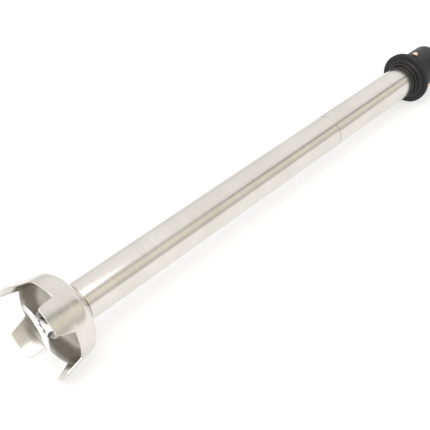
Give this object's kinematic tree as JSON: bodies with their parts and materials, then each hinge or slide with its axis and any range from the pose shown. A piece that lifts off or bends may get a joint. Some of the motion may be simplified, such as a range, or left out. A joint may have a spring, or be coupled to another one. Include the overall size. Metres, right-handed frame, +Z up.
{
  "type": "immersion blender shaft",
  "caption": "Stainless immersion blender shaft with a legged bell guard, star blade, bearing-carried drive line and black bayonet coupling.",
  "frame": {"origin": "under the middle of the shaft's bounding box, on the surface it lies on", "axes": "+X along the shaft from the bell guard to the coupling, +Z up, +Y to the left seen from the bell; the drive axis falls 1.32 degrees towards +X because the bell is wider than the coupling flange"},
  "size_m": [0.572, 0.0798, 0.0798],
  "materials": {
    "satin_steel": "satin brushed stainless steel",
    "blade_steel": "polished hardened stainless steel, ground edges",
    "machined_steel": "turned steel",
    "bearing_steel": "polished bearing steel",
    "black_plastic": "satin charcoal moulded plastic",
    "black_rubber": "black rubber",
    "white_polymer": "low-friction white polymer",
    "pin_brass": "pale nickel brass, lightly worn"
  },
  "bodies": {
    "housing": {"outer_tube": "satin_steel", "bell_guard": "satin_steel", "bell_hub": "machined_steel", "hub_o_ring": "black_rubber", "hub_circlip": "machined_steel", "lip_seal": "black_rubber", "seal_cover": "machined_steel", "lower_bearing_outer_race": "bearing_steel", "shaft_bush_lower": "white_polymer", "shaft_bush_upper": "white_polymer", "upper_bearing_housing": "machined_steel", "upper_bearing_outer_race": "bearing_steel", "upper_circlip": "machined_steel", "upper_dust_shield": "black_rubber", "coupling_collar": "black_plastic", "collar_nose_ring": "black_plastic", "flange_gasket": "black_rubber", "bayonet_pin_1": "pin_brass", "bayonet_pin_2": "pin_brass", "bayonet_pin_3": "pin_brass", "collar_lock_ring": "machined_steel"},
    "drive": {"drive_shaft": "machined_steel", "star_blade": "blade_steel", "blade_screw": "machined_steel", "seal_sleeve": "machined_steel", "lower_bearing_inner_race": "bearing_steel", "upper_bearing_inner_race": "bearing_steel", "shaft_circlip": "machined_steel", "drive_coupler": "machined_steel", "coupler_cross_pin": "machined_steel"},
    "lower_cage": {"lower_bearing_cage": "white_polymer", "lower_ball_1": "bearing_steel", "lower_ball_2": "bearing_steel", "lower_ball_3": "bearing_steel", "lower_ball_4": "bearing_steel", "lower_ball_5": "bearing_steel", "lower_ball_6": "bearing_steel", "lower_ball_7": "bearing_steel"},
    "upper_cage": {"upper_bearing_cage": "white_polymer", "upper_ball_1": "bearing_steel", "upper_ball_2": "bearing_steel", "upper_ball_3": "bearing_steel", "upper_ball_4": "bearing_steel", "upper_ball_5": "bearing_steel", "upper_ball_6": "bearing_steel", "upper_ball_7": "bearing_steel"}
  },
  "joints": [
    {"name": "drive_spin", "type": "hinge", "parent": "housing", "child": "drive", "pos_m": [-0.27603, 0, 0.04007], "axis": [0.9997, 0, -0.023], "continuous": true},
    {"name": "lower_cage_spin", "type": "hinge", "parent": "housing", "child": "lower_cage", "pos_m": [-0.25883, 0, 0.03967], "axis": [0.9997, 0, -0.023], "continuous": true},
    {"name": "upper_cage_spin", "type": "hinge", "parent": "housing", "child": "upper_cage", "pos_m": [0.22384, 0, 0.02858], "axis": [0.9997, 0, -0.023], "continuous": true}
  ],
  "couplings": [
    {"joint": "lower_cage_spin", "follows": "drive_spin", "ratio": 0.4068},
    {"joint": "upper_cage_spin", "follows": "drive_spin", "ratio": 0.4068}
  ]
}
